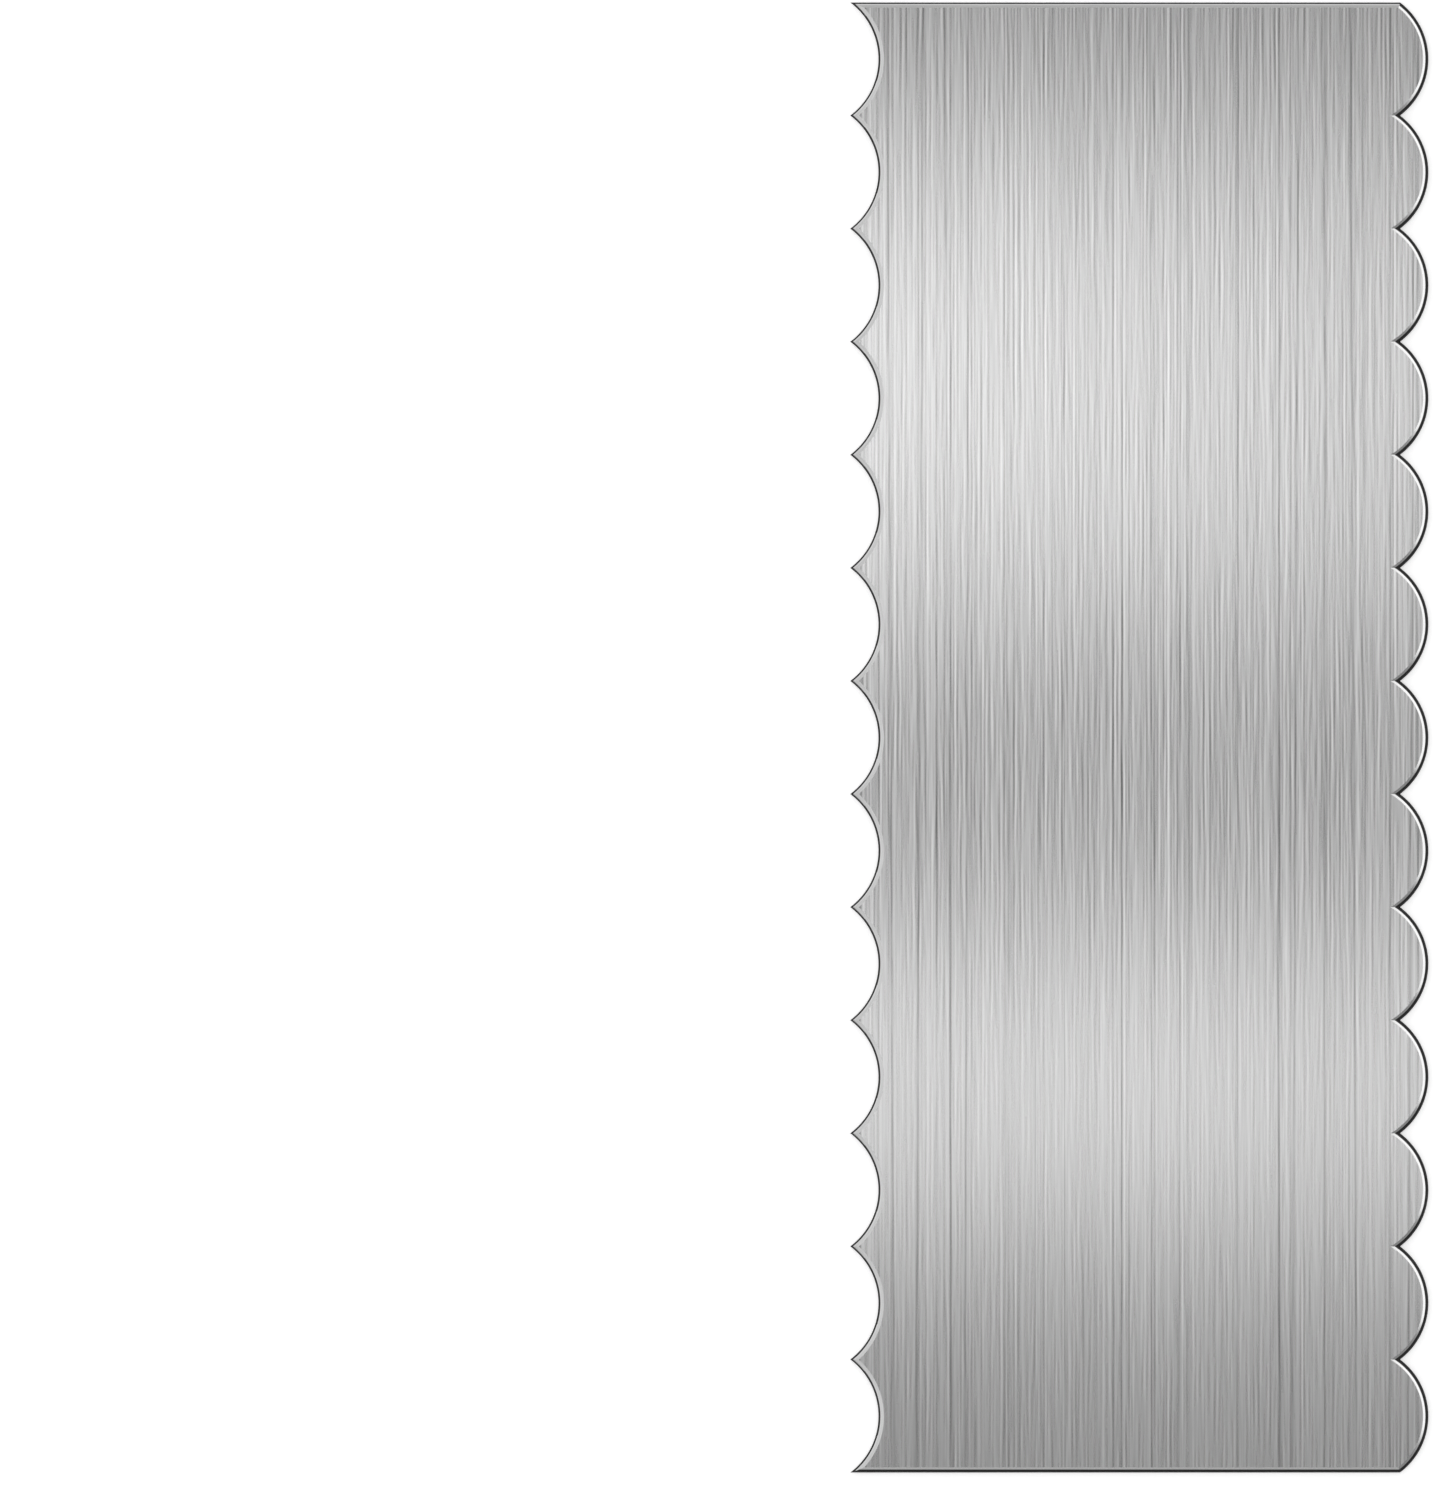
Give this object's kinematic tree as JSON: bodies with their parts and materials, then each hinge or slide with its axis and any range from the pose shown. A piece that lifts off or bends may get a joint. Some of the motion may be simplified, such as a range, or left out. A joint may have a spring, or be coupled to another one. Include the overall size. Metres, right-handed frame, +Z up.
{
  "type": "cake scraper",
  "caption": "Flat brushed steel cake scraper with concave scallops along one long edge and convex scallops along the other, for smoothing and texturing frosting.",
  "frame": {"origin": "centre of the bounding box's base, on the back face that the sheet lies on", "axes": "+X across the sheet towards the convex scallops, +Y along the sheet, +Z up through its thickness towards the face that shows"},
  "size_m": [0.09, 0.2288, 0.0012],
  "materials": {
    "brushed_stainless": "brushed lengthwise on both faces, with a polished bevel and a plain cut nose round the rim"
  },
  "bodies": {
    "root": {"scraper_sheet": "brushed_stainless"}
  },
  "joints": []
}
